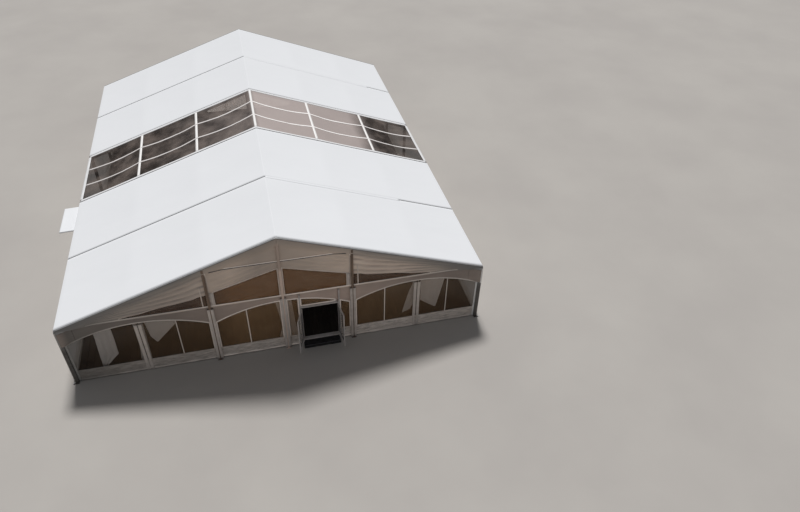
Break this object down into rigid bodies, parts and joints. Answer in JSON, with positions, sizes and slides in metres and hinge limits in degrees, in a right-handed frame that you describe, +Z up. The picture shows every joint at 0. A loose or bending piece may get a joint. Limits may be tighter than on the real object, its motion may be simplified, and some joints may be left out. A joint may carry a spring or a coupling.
{
  "type": "clear-span frame marquee",
  "caption": "White pitched-roof frame marquee on portal frames, one roof bay and the gable windows clear, with a double door in the front gable.",
  "frame": {"origin": "on the ground under the front gable's centre upright, at the middle of its base plate", "axes": "+X right along the front gable, +Y back along the ridge, +Z up"},
  "size_m": [19.0894, 23.8854, 6.3599],
  "materials": {
    "white_membrane": "satin coated cloth, faint weave and wrinkles",
    "clear_film": "glossy clear film, slightly wavy",
    "frame_aluminium": "satin mill aluminium, dull white at the gable",
    "door_frame_white": "satin white paint",
    "floor_boards": "worn board",
    "black_mat": "matte ribbed",
    "curtain_cloth": "soft gathered cloth"
  },
  "bodies": {
    "marquee": {"back_film": "clear_film", "back_transom": "frame_aluminium", "back_upright_centre": "frame_aluminium", "back_upright_left": "frame_aluminium", "back_upright_right": "frame_aluminium", "back_wall": "white_membrane", "curtain_centre": "curtain_cloth", "curtain_mid_left": "curtain_cloth", "curtain_mid_right": "curtain_cloth", "door_frame": "door_frame_white", "eave_purlin_left": "frame_aluminium", "eave_purlin_right": "frame_aluminium", "entrance_step": "black_mat", "floor": "floor_boards", "front_film": "clear_film", "front_gable_film": "clear_film", "front_gable_panel": "white_membrane", "front_mid_post_left": "frame_aluminium", "front_mid_post_right": "frame_aluminium", "front_transom": "frame_aluminium", "front_upright_centre": "frame_aluminium", "front_upright_left": "frame_aluminium", "front_upright_right": "frame_aluminium", "front_wall_left": "white_membrane", "front_wall_over_door": "white_membrane", "front_wall_right": "white_membrane", "high_purlin_left": "frame_aluminium", "high_purlin_right": "frame_aluminium", "low_purlin_left": "frame_aluminium", "low_purlin_right": "frame_aluminium", "portal_frame_1": "frame_aluminium", "portal_frame_2": "frame_aluminium", "portal_frame_3": "frame_aluminium", "portal_frame_4": "frame_aluminium", "portal_frame_5": "frame_aluminium", "portal_frame_6": "frame_aluminium", "ridge_purlin": "frame_aluminium", "roof_back_left": "white_membrane", "roof_back_right": "white_membrane", "roof_clear_left": "clear_film", "roof_clear_right": "clear_film", "roof_front_left": "white_membrane", "roof_front_right": "white_membrane", "side_canopy": "white_membrane", "side_wall_left": "white_membrane", "side_wall_right": "white_membrane"},
    "left_door": {"door_leaf_left": "door_frame_white"},
    "right_door": {"door_leaf_right": "door_frame_white"}
  },
  "joints": [
    {"name": "left_door_hinge", "type": "hinge", "parent": "marquee", "child": "left_door", "pos_m": [0.713, -0.064, 0.356], "axis": [0, 0, -1], "range_deg": [-110, 10]},
    {"name": "right_door_hinge", "type": "hinge", "parent": "marquee", "child": "right_door", "pos_m": [2.387, -0.064, 0.356], "axis": [0, 0, 1], "range_deg": [-98, 22]}
  ]
}
